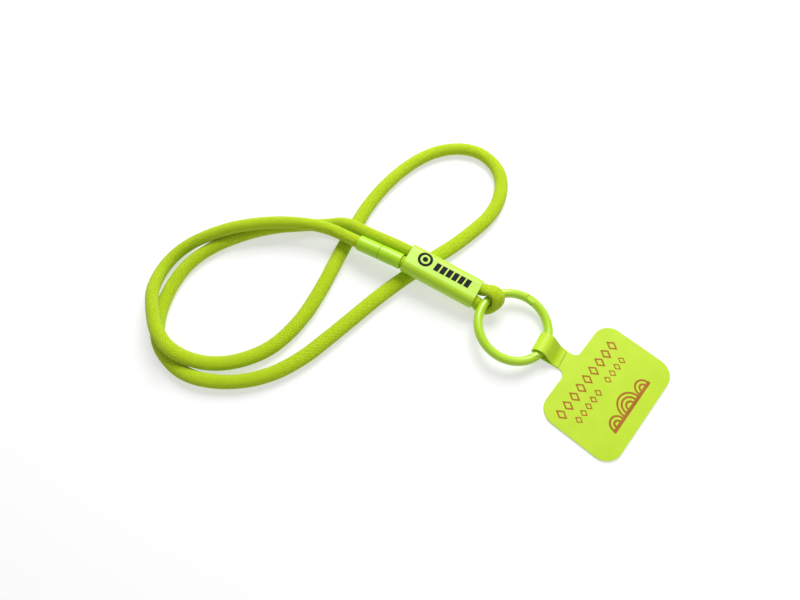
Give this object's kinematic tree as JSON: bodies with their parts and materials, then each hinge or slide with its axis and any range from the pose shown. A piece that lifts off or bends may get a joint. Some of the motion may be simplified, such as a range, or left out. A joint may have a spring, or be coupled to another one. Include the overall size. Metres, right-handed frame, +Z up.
{
  "type": "neck lanyard",
  "caption": "Round-cord neck lanyard with a breakaway barrel coupling, a flat metal cord sleeve, a spring-gate ring and a thin folded tab for a phone case.",
  "frame": {"origin": "bottom centre of the box of the hardware: coupling, sleeve, ring and tab", "axes": "+X along the sleeve from the coupling to the ring, +Z up from the surface that the lanyard lies on"},
  "size_m": [0.2534, 0.1933, 0.0159],
  "materials": {
    "cord": "fine braided polyester sleeve, matt",
    "painted_metal": "satin powder coat",
    "shell_plastic": "satin moulded",
    "insert_plastic": "natural moulded",
    "tab_film": "matt coated film",
    "bare_steel": "bright drawn wire"
  },
  "bodies": {
    "sleeve": {"sleeve": "painted_metal", "sleeve_core": "insert_plastic", "loop_cord": "cord", "coupling_near_shell": "shell_plastic", "coupling_socket": "insert_plastic", "near_cord_cup": "insert_plastic", "neck_cord": "cord"},
    "release_half": {"coupling_far_shell": "shell_plastic", "coupling_plug": "insert_plastic", "far_cord_cup": "insert_plastic"},
    "ring": {"ring_body": "painted_metal"},
    "gate": {"ring_gate": "painted_metal", "gate_pin": "painted_metal", "gate_spring": "bare_steel"},
    "plunger": {"gate_plunger": "bare_steel"},
    "tab": {"phone_tab": "tab_film"}
  },
  "joints": [
    {"name": "ring_swing", "type": "hinge", "parent": "sleeve", "child": "ring", "pos_m": [-0.01102, 0.01216, 0.00839], "axis": [-0.3315, -0.938, 0.101], "range_deg": [-40, 80], "deforming": ["loop_cord"]},
    {"name": "gate_hinge", "type": "hinge", "parent": "ring", "child": "gate", "pos_m": [0.0071, 0.02385, 0.00524], "axis": [-0.1336, -0.0594, -0.9893], "range_deg": [0, 20], "stiffness_Nm_per_rad": 0.08, "springref_deg": -17.19, "deforming": ["phone_tab"]},
    {"name": "plunger_slide", "type": "slide", "parent": "gate", "child": "plunger", "axis": [0.9368, -0.3332, -0.1065], "range_m": [0, 0.00022], "deforming": ["gate_spring"]},
    {"name": "tab_flap", "type": "hinge", "parent": "gate", "child": "tab", "pos_m": [0.02341, 0.00496, 0.00417], "axis": [-0.0611, -0.9981, 0], "range_deg": [-30, 75]},
    {"name": "coupling_release", "type": "slide", "parent": "sleeve", "child": "release_half", "axis": [-0.9993, -0.0181, -0.0322], "range_m": [0, 0.009], "deforming": ["neck_cord"]}
  ],
  "couplings": [
    {"joint": "plunger_slide", "follows": "gate_hinge", "m_per_rad": 0.0006}
  ]
}
